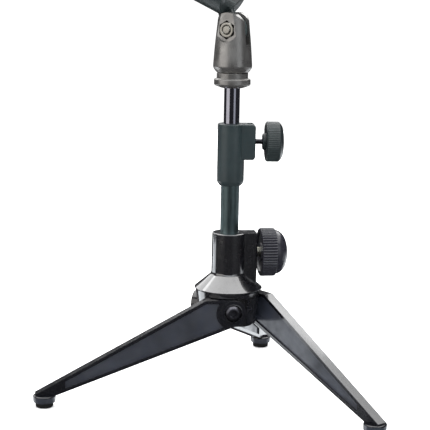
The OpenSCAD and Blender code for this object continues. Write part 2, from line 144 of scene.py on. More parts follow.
# %% Softboxes
def softbox(name, place, size, brightness, tint=(1, 1, 1), aim=(0, 0, 0.15)):
    """A rectangular area light at place, facing aim, of a given brightness all over its face."""
    lamp = bpy.data.objects.new(name, bpy.data.lights.new(name, "AREA"))
    scene.collection.objects.link(lamp)
    lamp.data.shape = "RECTANGLE"
    lamp.data.size, lamp.data.size_y = size
    lamp.data.energy = brightness * math.pi * size[0] * size[1]
    lamp.data.color = tint
    lamp.location = place
    lamp.rotation_euler = (Vector(aim) - Vector(place)).to_track_quat("-Z", "Y").to_euler()


WARM, COOL = (1.0, 0.97, 0.94), (0.92, 0.96, 1.0)
LOW_AIM = (0, 0, 0.05)
softbox("overhead", (0.0, 0.1, 1.3), (2.2, 1.5), 3.0)
softbox("back_high", (0.3, 1.5, 1.35), (1.5, 0.8), 5.0)
softbox("left_back", (-0.9, 1.1, 1.0), (1.4, 1.0), 2.2)
softbox("front_high", (0.1, -1.35, 1.15), (2.0, 0.7), 2.3, COOL)
softbox("left_flank", (-1.02, -0.62, 0.43), (1.25, 0.92), 1.5, WARM)
softbox("right_flank", (0.80, -0.89, 0.43), (0.62, 0.92), 0.9, COOL)
softbox("left_low", (-1.05, 0.50, -0.43), (0.85, 0.64), 2.6, COOL, LOW_AIM)
softbox("right_low", (0.9, 1.0, -0.45), (0.6, 0.6), 3.2, COOL, LOW_AIM)
softbox("right_wall_low", (1.25, 0.30, -0.30), (0.8, 0.46), 1.2, COOL, LOW_AIM)

# %% [markdown]
# ## Room
# The paper sweep is white to the eye and to the soft light it throws back, but a mirror-like
# surface would fill with it and lose its blacks. A photographer hangs black cards for this. The
# room does it with the Light Path node: bright for camera and diffuse rays, dim for glossy ones.

# %% Room
ROOM_WHITE = (1.15, 1.15, 1.15, 1)
ROOM_CARD = (0.05, 0.05, 0.055, 1)

room = bpy.data.worlds.new("room")
room.use_nodes = True
scene.world = room
nodes, links = room.node_tree.nodes, room.node_tree.links
card = nodes["Background"]
card.inputs["Color"].default_value = ROOM_CARD
white = nodes.new("ShaderNodeBackground")
white.inputs["Color"].default_value = ROOM_WHITE
ray = nodes.new("ShaderNodeLightPath")
sees_white = nodes.new("ShaderNodeMath")
sees_white.operation = "MAXIMUM"
choose = nodes.new("ShaderNodeMixShader")
links.new(ray.outputs["Is Camera Ray"], sees_white.inputs[0])
links.new(ray.outputs["Is Diffuse Ray"], sees_white.inputs[1])
links.new(sees_white.outputs[0], choose.inputs["Fac"])
links.new(card.outputs[0], choose.inputs[1])
links.new(white.outputs[0], choose.inputs[2])
links.new(choose.outputs[0], nodes["World Output"].inputs["Surface"])
print("room:", room.name)

# %% [markdown]
# ## Floor
# A square of paper under the feet. It is hidden from glossy rays for the same reason: the legs'
# undersides would otherwise mirror it and turn grey.

# %% Floor
FLOOR_HALF = 1.6
floor_mesh = bmesh.new()
bmesh.ops.create_grid(floor_mesh, x_segments=1, y_segments=1, size=FLOOR_HALF)
floor = bpy.data.objects.new("floor", bpy.data.meshes.new("floor"))
floor_mesh.to_mesh(floor.data)
floor_mesh.free()
floor.visible_glossy = False
scene.collection.objects.link(floor)
print("floor", tuple(round(x, 1) for x in floor.dimensions))

# %% [markdown]
# ## Tools for shaping
# Three operators make nearly every piece of this stand. A spin turns a half outline into a
# lathe shape, with each corner of the outline rounded by a vertex bevel first. An extrusion
# makes a plate from a flat outline. A boolean joins or cuts them, and an edge bevel then
# rounds what a casting or moulding never leaves sharp.


# %% Shaping helpers
def turned(outline, closed=False, steps=96):
    """Spin (radius, height, corner radius) points once round Z."""
    bm = bmesh.new()
    points = [bm.verts.new((p[0], 0, p[1])) for p in outline]
    ends = list(zip(points, points[1:])) + ([(points[-1], points[0])] if closed else [])
    for a, b in ends:
        bm.edges.new((a, b))
    for vert, p in zip(points, outline):
        if len(p) > 2:
            bmesh.ops.bevel(
                bm, geom=[vert], affect="VERTICES", offset=p[2], segments=4, profile=0.5, material=-1
            )
    bmesh.ops.spin(
        bm, geom=bm.verts[:] + bm.edges[:], axis=(0, 0, 1), cent=(0, 0, 0),
        angle=math.tau, steps=steps, use_merge=True,
    )
    bmesh.ops.remove_doubles(bm, verts=bm.verts, dist=1e-3)
    bmesh.ops.recalc_face_normals(bm, faces=bm.faces)
    return bm


def plate(outline, low, high):
    """Extrude a flat (x, y) outline from one height to another."""
    bm = bmesh.new()
    face = bm.faces.new([bm.verts.new((x, y, low)) for x, y in outline])
    top = bmesh.ops.extrude_face_region(bm, geom=[face])["geom"]
    raised = [v for v in top if isinstance(v, bmesh.types.BMVert)]
    bmesh.ops.translate(bm, verts=raised, vec=(0, 0, high - low))
    bmesh.ops.recalc_face_normals(bm, faces=bm.faces)
    return bm


def rod(radius, low, high, sides=64):
    """A straight bar along Z."""
    bm = bmesh.new()
    bmesh.ops.create_cone(
        bm, cap_ends=True, segments=sides, radius1=radius, radius2=radius, depth=high - low,
        matrix=Matrix.Translation((0, 0, (low + high) / 2)),
    )
    return bm


def moved(bm, matrix):
    bmesh.ops.transform(bm, matrix=matrix, verts=bm.verts)
    return bm


def rounded(bm, width, angle=28, segments=3):
    """Bevel every edge that turns by more than an angle."""
    sharp = [e for e in bm.edges if e.is_manifold and e.calc_face_angle(0) > math.radians(angle)]
    bmesh.ops.bevel(
        bm, geom=sharp, affect="EDGES", offset=width, offset_type="OFFSET", segments=segments,
        profile=0.5, clamp_overlap=True, material=-1,
    )
    return bm


print("shaping helpers ready")

# %% [markdown]
# ## Joining and placing
# A casting with ribs and pockets is easiest as simple solids joined and cut by a boolean. The
# modifier works on two short-lived objects, and only its result is kept. Every finished mesh
# then takes the same road: metres, smooth faces with sharp corners kept, a finish, and a body
# to ride on. Weighted normals keep the large flat faces from shading as if they were curved.


# %% Joining and cutting
def as_object(bm, name="blank"):
    mesh = bpy.data.meshes.new(name)
    bm.to_mesh(mesh)
    bm.free()
    piece = bpy.data.objects.new(name, mesh)
    scene.collection.objects.link(piece)
    return piece


def combined(bm, tool, how):
    """One solid joined to, cut by or limited to another: UNION, DIFFERENCE or INTERSECT."""
    body, cutter = as_object(bm), as_object(tool)
    step = body.modifiers.new("solid", "BOOLEAN")
    step.operation, step.object, step.solver = how, cutter, "EXACT"
    made = body.evaluated_get(bpy.context.evaluated_depsgraph_get()).to_mesh()
    result = bmesh.new()
    result.from_mesh(made)
    for spent in (body, cutter):
        mesh = spent.data
        bpy.data.objects.remove(spent)
        bpy.data.meshes.remove(mesh)
    bmesh.ops.remove_doubles(result, verts=result.verts, dist=1e-3)
    return result


def joined(bm, *tools):
    for tool in tools:
        bm = combined(bm, tool, "UNION")
    return bm


def cut_by(bm, *tools):
    for tool in tools:
        bm = combined(bm, tool, "DIFFERENCE")
    return bm


print("booleans ready")

# %% Placing
SMOOTH_UNDER = math.radians(38)


def placed(bm, name, matrix, body, node, finish):
    """Carry a finished mesh to its place, in metres, and hang it on its body."""
    bmesh.ops.dissolve_degenerate(bm, dist=1e-4, edges=bm.edges)
    moved(bm, Matrix.Scale(MM, 4) @ matrix)
    piece = as_object(bm, name)
    piece.data.shade_smooth()
    piece.data.set_sharp_from_angle(angle=SMOOTH_UNDER)
    piece.data.materials.append(finish)
    even = piece.modifiers.new("even_shading", "WEIGHTED_NORMAL")
    even.keep_sharp = True
    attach(piece, body)
    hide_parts(node)
    print(f"{name}: {len(piece.data.polygons)} faces on {body}")
    return piece


# %% [markdown]
# ## Finishes
# Each finish starts from the same Principled shader. What makes it read as lacquer, moulded
# plastic or plated steel is the fine unevenness: orange peel, spark-eroded grain, drawing
# lines, and edges rubbed a little brighter. All patterns read Object coordinates, so they stay
# put on the piece when it moves.


# %% Tools for finishes
COAT_ROUGHNESS, COAT_IOR = 0.05, 1.75


def main_of(material):
    return material.node_tree.nodes["Principled BSDF"]


def shader(name, colour, roughness, metallic=0.0, coat=0.0, specular=0.5):
    """A Principled material with the values that are the same all over it."""
    material = bpy.data.materials.new(name)
    material.use_nodes = True
    main = main_of(material)
    main.inputs["Base Color"].default_value = (*colour, 1)
    main.inputs["Roughness"].default_value = roughness
    main.inputs["Metallic"].default_value = metallic
    main.inputs["Coat Weight"].default_value = coat
    main.inputs["Coat Roughness"].default_value = COAT_ROUGHNESS
    main.inputs["Coat IOR"].default_value = COAT_IOR
    main.inputs["Specular IOR Level"].default_value = specular
    return material


def add(material, kind, **settings):
    """A new node; each setting is a property of the node or the value of an input."""
    node = material.node_tree.nodes.new(kind)
    for key, value in settings.items():
        if hasattr(node, key):
            setattr(node, key, value)
        else:
            node.inputs[key.replace("_", " ")].default_value = value
    return node


def link(material, source, target):
    material.node_tree.links.new(source, target)


def tinted(colour, strength):
    return tuple(channel * strength for channel in colour)


def grain(material, scale, detail=3.0, stretch=(1, 1, 1)):
    """Noise on Object coordinates, stretched along an axis where a value is under 1."""
    place = add(material, "ShaderNodeTexCoord")
    fit = add(material, "ShaderNodeMapping")
    fit.inputs["Scale"].default_value = stretch
    noise = add(material, "ShaderNodeTexNoise", Scale=scale, Detail=detail)
    link(material, place.outputs["Object"], fit.inputs["Vector"])
    link(material, fit.outputs["Vector"], noise.inputs["Vector"])
    return noise.outputs["Fac"]


def spread(material, value, low, high, floor_at=0.3, top_at=0.7):
    """Map a pattern's middle range onto low to high."""
    ranged = add(material, "ShaderNodeMapRange")
    ranged.inputs["From Min"].default_value = floor_at
    ranged.inputs["From Max"].default_value = top_at
    ranged.inputs["To Min"].default_value = low
    ranged.inputs["To Max"].default_value = high
    link(material, value, ranged.inputs["Value"])
    return ranged.outputs["Result"]


def mix_colour(material, share, colour_a, colour_b):
    """Blend two colours, or the colours from two sockets, by a share from 0 to 1."""
    blend = add(material, "ShaderNodeMix", data_type="RGBA")
    for label, colour in (("A", colour_a), ("B", colour_b)):
        socket = [s for s in blend.inputs if s.name == label and s.type == "RGBA"][0]
        if isinstance(colour, bpy.types.NodeSocket):
            link(material, colour, socket)
        else:
            socket.default_value = (*colour, 1)
    link(material, share, blend.inputs["Factor"])
    return [s for s in blend.outputs if s.type == "RGBA"][0]


def worn(material, start=0.55, full=0.64):
    """Share of wear: 1 on the outermost edges, 0 on flat ground."""
    shape = add(material, "ShaderNodeNewGeometry")
    return spread(material, shape.outputs["Pointiness"], 0, 1, start, full)


def bumped(material, *layers):
    """Stack (pattern, depth in metres) layers into the normal."""
    below = None
    for value, depth in layers:
        bump = add(material, "ShaderNodeBump", Strength=1.0, Distance=depth)
        link(material, value, bump.inputs["Height"])
        if below is not None:
            link(material, below, bump.inputs["Normal"])
        below = bump.outputs["Normal"]
    link(material, below, main_of(material).inputs["Normal"])


print("finish helpers ready")

# %% [markdown]
# ## Lacquer
# Die castings are sprayed. The wet film levels slowly, which leaves a shallow orange peel, and
# it draws back from sharp edges, which rub through first. The pattern layers are the same for
# each casting, and only the colour, gloss and coat differ: deep gloss on the hub, a little
# duller on the legs, rough in their sunk panels with a lighter bluish colour that is painted
# sheen, and a metallic grey on the fork and collar.


# %% Lacquers on die castings
def lacquer(name, colour, roughness, coat, edge_colour, peel_depth, specular=1.0):
    """Sprayed lacquer: slow orange peel, fine dust, and a rub mark on the edges."""
    material = shader(name, colour, roughness, coat=coat, specular=specular)
    clouds = spread(material, grain(material, 55, 2), 0, 1)
    tone = mix_colour(material, clouds, tinted(colour, 0.8), tinted(colour, 1.25))
    rubbed = mix_colour(material, worn(material), tone, edge_colour)
    link(material, rubbed, main_of(material).inputs["Base Color"])
    smears = spread(material, grain(material, 160, 4), roughness * 0.75, roughness * 1.35)
    link(material, smears, main_of(material).inputs["Roughness"])
    peel, dust = grain(material, 650, 2), grain(material, 4200, 2)
    bumped(material, (peel, peel_depth), (dust, peel_depth * 0.12))
    return material


HUB_LACQUER = lacquer(
    "hub_lacquer", (0.0030, 0.0030, 0.0040), roughness=0.22, coat=1.0,
    edge_colour=(0.014, 0.014, 0.017), peel_depth=0.000008,
)
LEG_LACQUER = lacquer(
    "leg_lacquer", (0.0036, 0.0038, 0.0054), roughness=0.20, coat=0.40,
    edge_colour=(0.020, 0.020, 0.026), peel_depth=0.000008, specular=0.5,
)
# The panels' base colour, several times lighter and bluer than the leg lacquer, is painted sheen; their
# rougher gloss is the real finish.
PANEL_LACQUER_WITH_PAINTED_SHEEN = lacquer(
    "panel_lacquer_painted_sheen", (0.0170, 0.0200, 0.0290), roughness=0.38, coat=0.25,
    edge_colour=(0.060, 0.064, 0.080), peel_depth=0.000014, specular=0.7,
)
GREY_LACQUER = lacquer(
    "grey_lacquer", (0.235, 0.230, 0.222), roughness=0.36, coat=0.10,
    edge_colour=(0.33, 0.33, 0.32), peel_depth=0.000004, specular=0.5,
)
main_of(GREY_LACQUER).inputs["Metallic"].default_value = 0.9
print("lacquers:", [m.name for m in (HUB_LACQUER, LEG_LACQUER, PANEL_LACQUER_WITH_PAINTED_SHEEN, GREY_LACQUER)])

# %% [markdown]
# ## Plastic and rubber
# Moulds are often spark-eroded, so the plastic comes out with a fine even grain that breaks up
# its gloss. Fingers polish the ribs and edges. The clutch and the clip are a greenish black,
# the knobs are near black, and the feet are a soft rubber with hardly any gloss.


# %% Moulded plastics and rubber
def moulded(name, colour, roughness, grain_scale, grain_depth, edge_colour):
    """Plastic from a spark-eroded mould: a fine even grain, polished on the edges by handling."""
    material = shader(name, colour, roughness)
    flow = spread(material, grain(material, 40, 3), 0, 1)
    tone = mix_colour(material, flow, tinted(colour, 0.85), tinted(colour, 1.2))
    polished = mix_colour(material, worn(material), tone, edge_colour)
    link(material, polished, main_of(material).inputs["Base Color"])
    handled = spread(material, grain(material, 220, 3), roughness * 0.85, roughness * 1.15)
    link(material, handled, main_of(material).inputs["Roughness"])
    bumped(material, (grain(material, grain_scale, 2), grain_depth))
    return material


KNOB_PLASTIC = moulded(
    "knob_plastic", (0.010, 0.010, 0.015), roughness=0.30,
    grain_scale=2600, grain_depth=0.000012, edge_colour=(0.04, 0.04, 0.05),
)
CLUTCH_KNOB_PLASTIC = moulded(
    "clutch_knob_plastic", (0.008, 0.013, 0.014), roughness=0.36,
    grain_scale=2400, grain_depth=0.000012, edge_colour=(0.05, 0.07, 0.07),
)
CLUTCH_PLASTIC = moulded(
    "clutch_plastic", (0.012, 0.020, 0.022), roughness=0.36,
    grain_scale=1100, grain_depth=0.000026, edge_colour=(0.06, 0.08, 0.08),
)
CLIP_PLASTIC = moulded(
    "clip_plastic", (0.011, 0.017, 0.018), roughness=0.42,
    grain_scale=1900, grain_depth=0.000022, edge_colour=(0.06, 0.08, 0.08),
)
BLACK_NYLON = moulded(
    "black_nylon", (0.008, 0.008, 0.008), roughness=0.42,
    grain_scale=1500, grain_depth=0.000012, edge_colour=(0.03, 0.03, 0.03),
)
FOOT_RUBBER = moulded(
    "foot_rubber", (0.004, 0.004, 0.004), roughness=0.70,
    grain_scale=1200, grain_depth=0.000030, edge_colour=(0.012, 0.012, 0.012),
)
print("plastics:", [m.name for m in (KNOB_PLASTIC, CLUTCH_KNOB_PLASTIC, CLUTCH_PLASTIC, CLIP_PLASTIC)])
print("also:", BLACK_NYLON.name, FOOT_RUBBER.name)

# %% [markdown]
# ## Metals
# Drawn tube carries fine lines along its length, so its pattern is stretched along the pole.
# Screws, nuts and inserts are tumbled in a plating drum, which leaves them even in every
# direction. A little tarnish in the colour keeps them from looking like polished mirrors.


# %% Plated and bare metals
def plated(name, colour, roughness, stretch, line_depth, tarnish):
    """Plated metal: lines from drawing or turning, and a faint uneven tarnish."""
    material = shader(name, colour, roughness, metallic=1.0)
    stains = spread(material, grain(material, 90, 4), 0, 1)
    tone = mix_colour(material, stains, colour, tarnish)
    link(material, tone, main_of(material).inputs["Base Color"])
    lines = grain(material, 2400, 2, stretch)
    rubbed = spread(material, lines, roughness * 0.7, roughness * 1.4)
    link(material, rubbed, main_of(material).inputs["Roughness"])
    bumped(material, (lines, line_depth))
    return material


ALONG_POLE = (1, 1, 0.02)
EVERY_WAY = (1, 1, 1)
DARK_CHROME = plated(
    "dark_chrome", (0.30, 0.30, 0.34), roughness=0.10, stretch=ALONG_POLE,
    line_depth=0.000002, tarnish=(0.24, 0.24, 0.28),
)
NUT_STEEL = plated(
    "nut_steel", (0.34, 0.33, 0.30), roughness=0.30, stretch=EVERY_WAY,
    line_depth=0.000005, tarnish=(0.26, 0.25, 0.22),
)
ZINC_STEEL = plated(
    "zinc_steel", (0.72, 0.71, 0.66), roughness=0.24, stretch=EVERY_WAY,
    line_depth=0.000005, tarnish=(0.58, 0.57, 0.50),
)
BLACK_STEEL = plated(
    "black_steel", (0.16, 0.16, 0.18), roughness=0.38, stretch=EVERY_WAY,
    line_depth=0.000006, tarnish=(0.07, 0.07, 0.08),
)
BRASS = plated(
    "brass", (0.72, 0.52, 0.24), roughness=0.28, stretch=EVERY_WAY,
    line_depth=0.000005, tarnish=(0.55, 0.37, 0.16),
)
SATIN_TUBE = plated(
    "satin_tube", (0.16, 0.21, 0.215), roughness=0.40, stretch=ALONG_POLE,
    line_depth=0.000004, tarnish=(0.12, 0.165, 0.17),
)
print("metals:", [m.name for m in (DARK_CHROME, NUT_STEEL, ZINC_STEEL, BLACK_STEEL, BRASS, SATIN_TUBE)])

# %% [markdown]
# ## Paper floor
# Matt white paper, with a cloudiness so faint that it only keeps the white from being dead flat.

# %% Finish for the floor
FLOOR_COLOUR = (0.90, 0.90, 0.90)
paper = shader("paper_floor", FLOOR_COLOUR, roughness=0.7, specular=0.2)
clouds = spread(paper, grain(paper, 30, 3), 0, 1)
white_tone = mix_colour(paper, clouds, FLOOR_COLOUR, tinted(FLOOR_COLOUR, 0.985))
link(paper, white_tone, main_of(paper).inputs["Base Color"])
floor.data.materials.append(paper)
print("floor finish:", paper.name)

# %% [markdown]
# ## Hub
# The hub is one gloss black die casting: a collar that guides the pole, a cone that spreads
# into a rim, and a tapered skirt with a flat pocket for each leg. A thick rib on the collar
# takes the clamping stud. The lathe shape is spun, the rib is a plate with its fillets drawn in
# its plan, and the pockets are cut last.

# %% Sizes of the hub
LOWER_TUBE_R = 6.5
RUNNING = 0.05
hub_low, hub_high = (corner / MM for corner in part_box("hub"))
HUB_BOTTOM, HUB_TOP = hub_low.z, hub_high.z
LEG_PLANE, LEG_T, LUG_R = 21.0, 7.6, 9.4
POCKET_Y = LEG_PLANE - LEG_T / 2 - 0.6
POCKET_TOP = PIVOT_Z + LUG_R + 0.6
RIM_R, RIM_Z = 24.0, POCKET_TOP + 3.6
COLLAR_R, COLLAR_Z = 12.1, RIM_Z + 10.4
RIB_REACH, RIB_T, RIB_FILLET, RIB_NOSE_R = 19.2, 14.6, 3.0, 1.2
STUD_HOLE_R = 4.0
print(f"hub from {HUB_BOTTOM:.1f} to {HUB_TOP:.1f} mm, its rim {RIM_Z:.1f} mm up")


# %% Blanks for the hub
def arc(centre, radius, start, end, steps):
    """Points along an arc, angles in degrees."""
    turns = (math.radians(start + (end - start) * i / steps) for i in range(steps + 1))
    return [(centre[0] + radius * math.cos(t), centre[1] + radius * math.sin(t)) for t in turns]


def hub_blank():
    """The lathe shape: skirt, rim, cone and collar round the pole's bore."""
    skirt_r = RIM_R - 0.7 - 0.14 * (RIM_Z - HUB_BOTTOM)
    bore = LOWER_TUBE_R + RUNNING
    return turned([
        (bore, HUB_BOTTOM), (skirt_r, HUB_BOTTOM, 0.8), (RIM_R - 0.7, RIM_Z - 0.7, 0.5),
        (RIM_R, RIM_Z, 0.3), (RIM_R, RIM_Z + 0.35, 0.3), (COLLAR_R + 0.2, COLLAR_Z, 1.2),
        (COLLAR_R, HUB_TOP, 0.8), (bore + 0.5, HUB_TOP, 0.15), (bore, HUB_TOP - 0.5, 0.15),
    ], closed=True, steps=128)


def rib_blank():
    """The rib for the clamping stud, towards +X, with a fillet where it meets the collar."""
    half = RIB_T / 2
    nose_x, nose_y = RIB_REACH - RIB_NOSE_R, half - RIB_NOSE_R
    fillet_y = half + RIB_FILLET
    fillet_x = math.sqrt((COLLAR_R + RIB_FILLET) ** 2 - fillet_y ** 2)
    meet = math.degrees(math.atan2(fillet_y, fillet_x))
    upper = arc((fillet_x, fillet_y), RIB_FILLET, 270, 180 + meet, 8)
    inner = [(LOWER_TUBE_R + 1.5, 4.0), (LOWER_TUBE_R + 1.5, -4.0)]
    lower = [(x, -y) for x, y in reversed(upper)]
    nose = arc((nose_x, -nose_y), RIB_NOSE_R, -90, 0, 5) + arc((nose_x, nose_y), RIB_NOSE_R, 0, 90, 5)
    return plate(nose + upper + inner + lower, RIM_Z, HUB_TOP - 0.01)


def pocket_blank(side):
    """The space a leg's lug turns in, so that the lug lies flat on the skirt."""
    back = LUG_R + 1.2
    outline = [(-back, HUB_BOTTOM - 5), (50, HUB_BOTTOM - 5), (50, POCKET_TOP)]
    outline += arc((-back + 3, POCKET_TOP - 3), 3, 90, 180, 6)
    pocket = plate(outline, -60, -POCKET_Y)
    return moved(pocket, along_leg(side) @ STAND)


print("hub blanks ready")

# %% Hub casting
rib = moved(rib_blank(), Matrix.Rotation(heading("base_knob_turn"), 4, "Z"))
hub = joined(hub_blank(), rib)
hub = moved(hub, on_pole())
stud_hole = moved(rod(STUD_HOLE_R, 0, 30), along_screw("base_knob_turn"))
hub = cut_by(hub, stud_hole, *[pocket_blank(side) for side in SIDES])
hub = rounded(hub, 0.35, 32, 2)
placed(hub, "hub_casting", Matrix.Identity(4), "base", "hub", HUB_LACQUER)

# %% [markdown]
# ## Legs
# The three legs are the same casting, each bolted flat against the hub, so they leave it in a
# pinwheel. A leg is a plate that tapers from its lug to its foot, with a sunk panel on both
# faces, a ring round the screw, and a disc over the foot. One outline function draws both the
# leg and its panels, only with a different margin.

# %% Sizes of a leg
FOOT_REACH = 130.8
SHOULDER = 19.5
DISC_R, DISC_T, PAD_T = 8.0, 4.8, 3.7
DISC_TOP = PAD_T + DISC_T
LEG_OUTER, LEG_INNER = LEG_PLANE + LEG_T / 2, LEG_PLANE - LEG_T / 2
TIP_S = FOOT_REACH + DISC_R * 0.8
TIP_TOP, TIP_LOW = DISC_TOP + 1.3, PAD_T + DISC_T * 0.4
TOP_SLOPE = math.atan2(PIVOT_Z + LUG_R - TIP_TOP, TIP_S - SHOULDER)
LOW_SLOPE = math.atan2(PIVOT_Z - LUG_R - TIP_LOW, FOOT_REACH)
RECESS_R, RING_DEPTH, RING_RISE = 5.9, 0.9, 0.6
SCREW_R = 2.95
PANEL_MARGIN, PANEL_DEPTH, PANEL_START, PANEL_STOP = 2.3, 1.1, LUG_R + 2.2, FOOT_REACH - 14
print(f"leg slopes {math.degrees(TOP_SLOPE):.1f} above and {math.degrees(LOW_SLOPE):.1f} degrees below")


# %% Outline of a leg
def leg_outline(margin, start_r=None, end_s=None):
    """Outline in X-Z: the whole leg, or a panel from an arc round the lug to a distance."""
    circle = LUG_R - margin
    low = Vector((FOOT_REACH, TIP_LOW + margin / math.cos(LOW_SLOPE)))
    far = low - Vector((0, PIVOT_Z))
    touch = math.degrees(math.atan2(far.y, far.x) - math.acos(circle / far.length))
    level = PIVOT_Z + circle
    corner = SHOULDER - margin * math.tan(TOP_SLOPE / 2)
    if start_r is None:
        lug = arc((0, PIVOT_Z), circle, 90, 360 + touch, 40)
        return lug + [(FOOT_REACH, low.y), (TIP_S, TIP_LOW), (TIP_S, TIP_TOP), (corner, level)]
    touch_x = circle * math.cos(math.radians(touch))
    touch_z = PIVOT_Z + circle * math.sin(math.radians(touch))
    top_end = level - (end_s - corner) * math.tan(TOP_SLOPE)
    low_end = touch_z + (end_s - touch_x) * math.tan(math.radians(touch + 90))
    span = math.degrees(math.acos(circle / start_r))
    round_end = arc((0, PIVOT_Z), start_r, touch + span, 90 - span, 14)
    return round_end + [(corner, level), (end_s, top_end), (end_s, low_end)]


print("points in a leg's outline:", len(leg_outline(0)))


# %% Leg casting
def leg_ring(pivot):
    """A raised rim round the screw's recess, its face sloping outward."""
    root, face, crest = LEG_OUTER - 1, LEG_OUTER, LEG_OUTER + RING_RISE
    rim = turned([
        (RECESS_R, root), (RECESS_R + 1.5, root), (RECESS_R + 1.4, face, 0.05),
        (RECESS_R + 0.3, crest, 0.15), (RECESS_R, crest - 0.05, 0.05),
    ], closed=True)
    return moved(rim, pivot)


def leg_casting():
    """The casting in its own frame: X along the leg, Y out through the pivot."""
    bar = moved(plate(leg_outline(0), -LEG_OUTER, -LEG_INNER), STAND)
    pivot = Matrix.Translation((0, 0, PIVOT_Z)) @ ALONG_Y
    boss = moved(rod(LUG_R - 0.5, LEG_INNER + 1, LEG_OUTER + 0.12, 96), pivot)
    bar = joined(bar, boss)
    panel = leg_outline(PANEL_MARGIN, PANEL_START, PANEL_STOP)
    outer = moved(plate(panel, -LEG_OUTER - 5, -LEG_OUTER + PANEL_DEPTH), STAND)
    inner = moved(plate(panel, -LEG_INNER - PANEL_DEPTH, -LEG_INNER + 5), STAND)
    recess = moved(rod(RECESS_R, LEG_OUTER - RING_DEPTH, LEG_OUTER + 5, 96), pivot)
    bore = moved(rod(SCREW_R + RUNNING, LEG_INNER - 5, LEG_OUTER + 5), pivot)
    bar = rounded(cut_by(bar, outer, inner, recess, bore), 0.4, 28, 3)
    bar = joined(bar, leg_ring(pivot))
    disc = turned([(0, 0), (DISC_R - 0.3, 0, 0.3), (DISC_R, DISC_T, 1.0), (0, DISC_T)], steps=64)
    return joined(bar, moved(disc, Matrix.Translation((FOOT_REACH, LEG_PLANE, PAD_T))))


print("leg casting ready")

# %% [markdown]
# The floors of the sunk panels are as the die left them, rougher than the polished rims, and so is
# the side of the disc over the foot. They get a second finish, whose lighter bluish colour is painted
# sheen: the faces are picked by carrying each one's centre back to the leg's own frame, where a panel
# is a flat level in Y.


# %% Legs in place
def finish_panels_with_painted_sheen(piece, side):
    """Give the panels' floors and the foot disc's side their own rougher finish, its lighter colour painted
    sheen.
    """
    piece.data.materials.append(PANEL_LACQUER_WITH_PAINTED_SHEEN)
    back = along_leg(side).inverted() @ Matrix.Scale(1 / MM, 4)
    floors = (LEG_OUTER - PANEL_DEPTH, LEG_INNER + PANEL_DEPTH)
    for face in piece.data.polygons:
        x, y, z = back @ face.center
        sunk = LUG_R + 1 < x < FOOT_REACH and any(abs(y - level) < 0.02 for level in floors)
        from_disc = abs(math.dist((x, y), (FOOT_REACH, LEG_PLANE)) - DISC_R)
        face.material_index = 1 if sunk or (z < DISC_TOP - 1 and from_disc < 0.5) else 0


for side in SIDES:
    limb = f"leg_{side}"
    leg = placed(leg_casting(), f"{limb}_casting", along_leg(side), limb, limb, LEG_LACQUER)
    finish_panels_with_painted_sheen(leg, side)

# %% [markdown]
# ## Rubber feet
# A plain moulded plug under each disc: a slightly bulged band with rounded edges, spun in one
# go. Its narrow stem is pressed up into the disc, which is what holds it on.


# %% Feet
FOOT_R, STEM_R, STEM_TOP = 6.2, 2.5, PAD_T + 2.8


def rubber_foot():
    top = PAD_T - 0.02
    return turned([
        (0, 0), (FOOT_R - 0.6, 0, 0.5), (FOOT_R, 0.9, 0.6), (FOOT_R, PAD_T - 0.6, 0.4),
        (FOOT_R - 0.3, top, 0.1), (STEM_R, top), (STEM_R, STEM_TOP), (0, STEM_TOP),
    ], steps=64)


for side in SIDES:
    at_foot = along_leg(side) @ Matrix.Translation((FOOT_REACH, LEG_PLANE, 0))
    placed(rubber_foot(), f"foot_{side}_rubber", at_foot, f"leg_{side}", f"foot_{side}", FOOT_RUBBER)

# %% [markdown]
# ## Pivot screws
# Button-head screws with a hexagon socket. The head is a spun dome, and the socket is a
# six-sided bar cut out of it. The three screws are one piece, so they share a mesh.

# %% Screws
HEAD_R, HEAD_H, SOCKET_R, SOCKET_DEPTH = 5.6, 3.1, 2.75, 2.4
head_y = LEG_OUTER - RING_DEPTH + 0.05


def button_screw():
    """A screw along Z, measured from the pole's axis."""
    tip, crown = POCKET_Y - 7.5, head_y + HEAD_H
    blank = turned([
        (0, tip), (SCREW_R, tip, 0.4), (SCREW_R, head_y), (HEAD_R, head_y, 0.2),
        (HEAD_R, head_y + HEAD_H * 0.3, 0.4), (HEAD_R * 0.86, head_y + HEAD_H * 0.8, 1.0),
        (HEAD_R * 0.66, crown, 0.6), (0, crown),
    ], steps=64)
    socket = rod(SOCKET_R, crown - SOCKET_DEPTH, crown + 2, 6)
    return rounded(cut_by(blank, socket), 0.12, 40, 2)


screws = bmesh.new()
for side in SIDES:
    at_pivot = along_leg(side) @ Matrix.Translation((0, 0, PIVOT_Z)) @ ALONG_Y
    one = moved(button_screw(), at_pivot)
    spare = bpy.data.meshes.new("one_screw")
    one.to_mesh(spare)
    screws.from_mesh(spare)
    bpy.data.meshes.remove(spare)
    one.free()
placed(screws, "pivot_screws_button_head", Matrix.Identity(4), "base", "pivot_screws", BLACK_STEEL)

# %% [markdown]
# ## Threads
# The studs are real screws: one tooth of the thread is spun round Z while the spin also climbs
# by one pitch each turn. The seams between turns are merged, and the two open ends are closed.


# %% Threaded rods
def threaded(radius, pitch, low, high, depth):
    """A screw thread from one height to another."""
    bm = bmesh.new()
    root = radius - depth
    tooth = [(root, 0), (root, pitch * 0.2), (radius, pitch * 0.5), (radius, pitch * 0.7), (root, pitch)]
    points = [bm.verts.new((r, 0, low + z)) for r, z in tooth]
    for a, b in zip(points, points[1:]):
        bm.edges.new((a, b))
    turns = max(1, int((high - low) / pitch) - 1)
    steps = 40
    bmesh.ops.spin(
        bm, geom=bm.verts[:] + bm.edges[:], axis=(0, 0, 1), cent=(0, 0, 0), angle=math.tau * turns,
        steps=steps * turns, dvec=(0, 0, pitch / steps), use_merge=False,
    )
    bmesh.ops.remove_doubles(bm, verts=bm.verts, dist=pitch * 0.02)
    rims = [e for e in bm.edges if e.is_boundary]
    bmesh.ops.holes_fill(bm, edges=rims, sides=0)
    bmesh.ops.recalc_face_normals(bm, faces=bm.faces)
    return bm


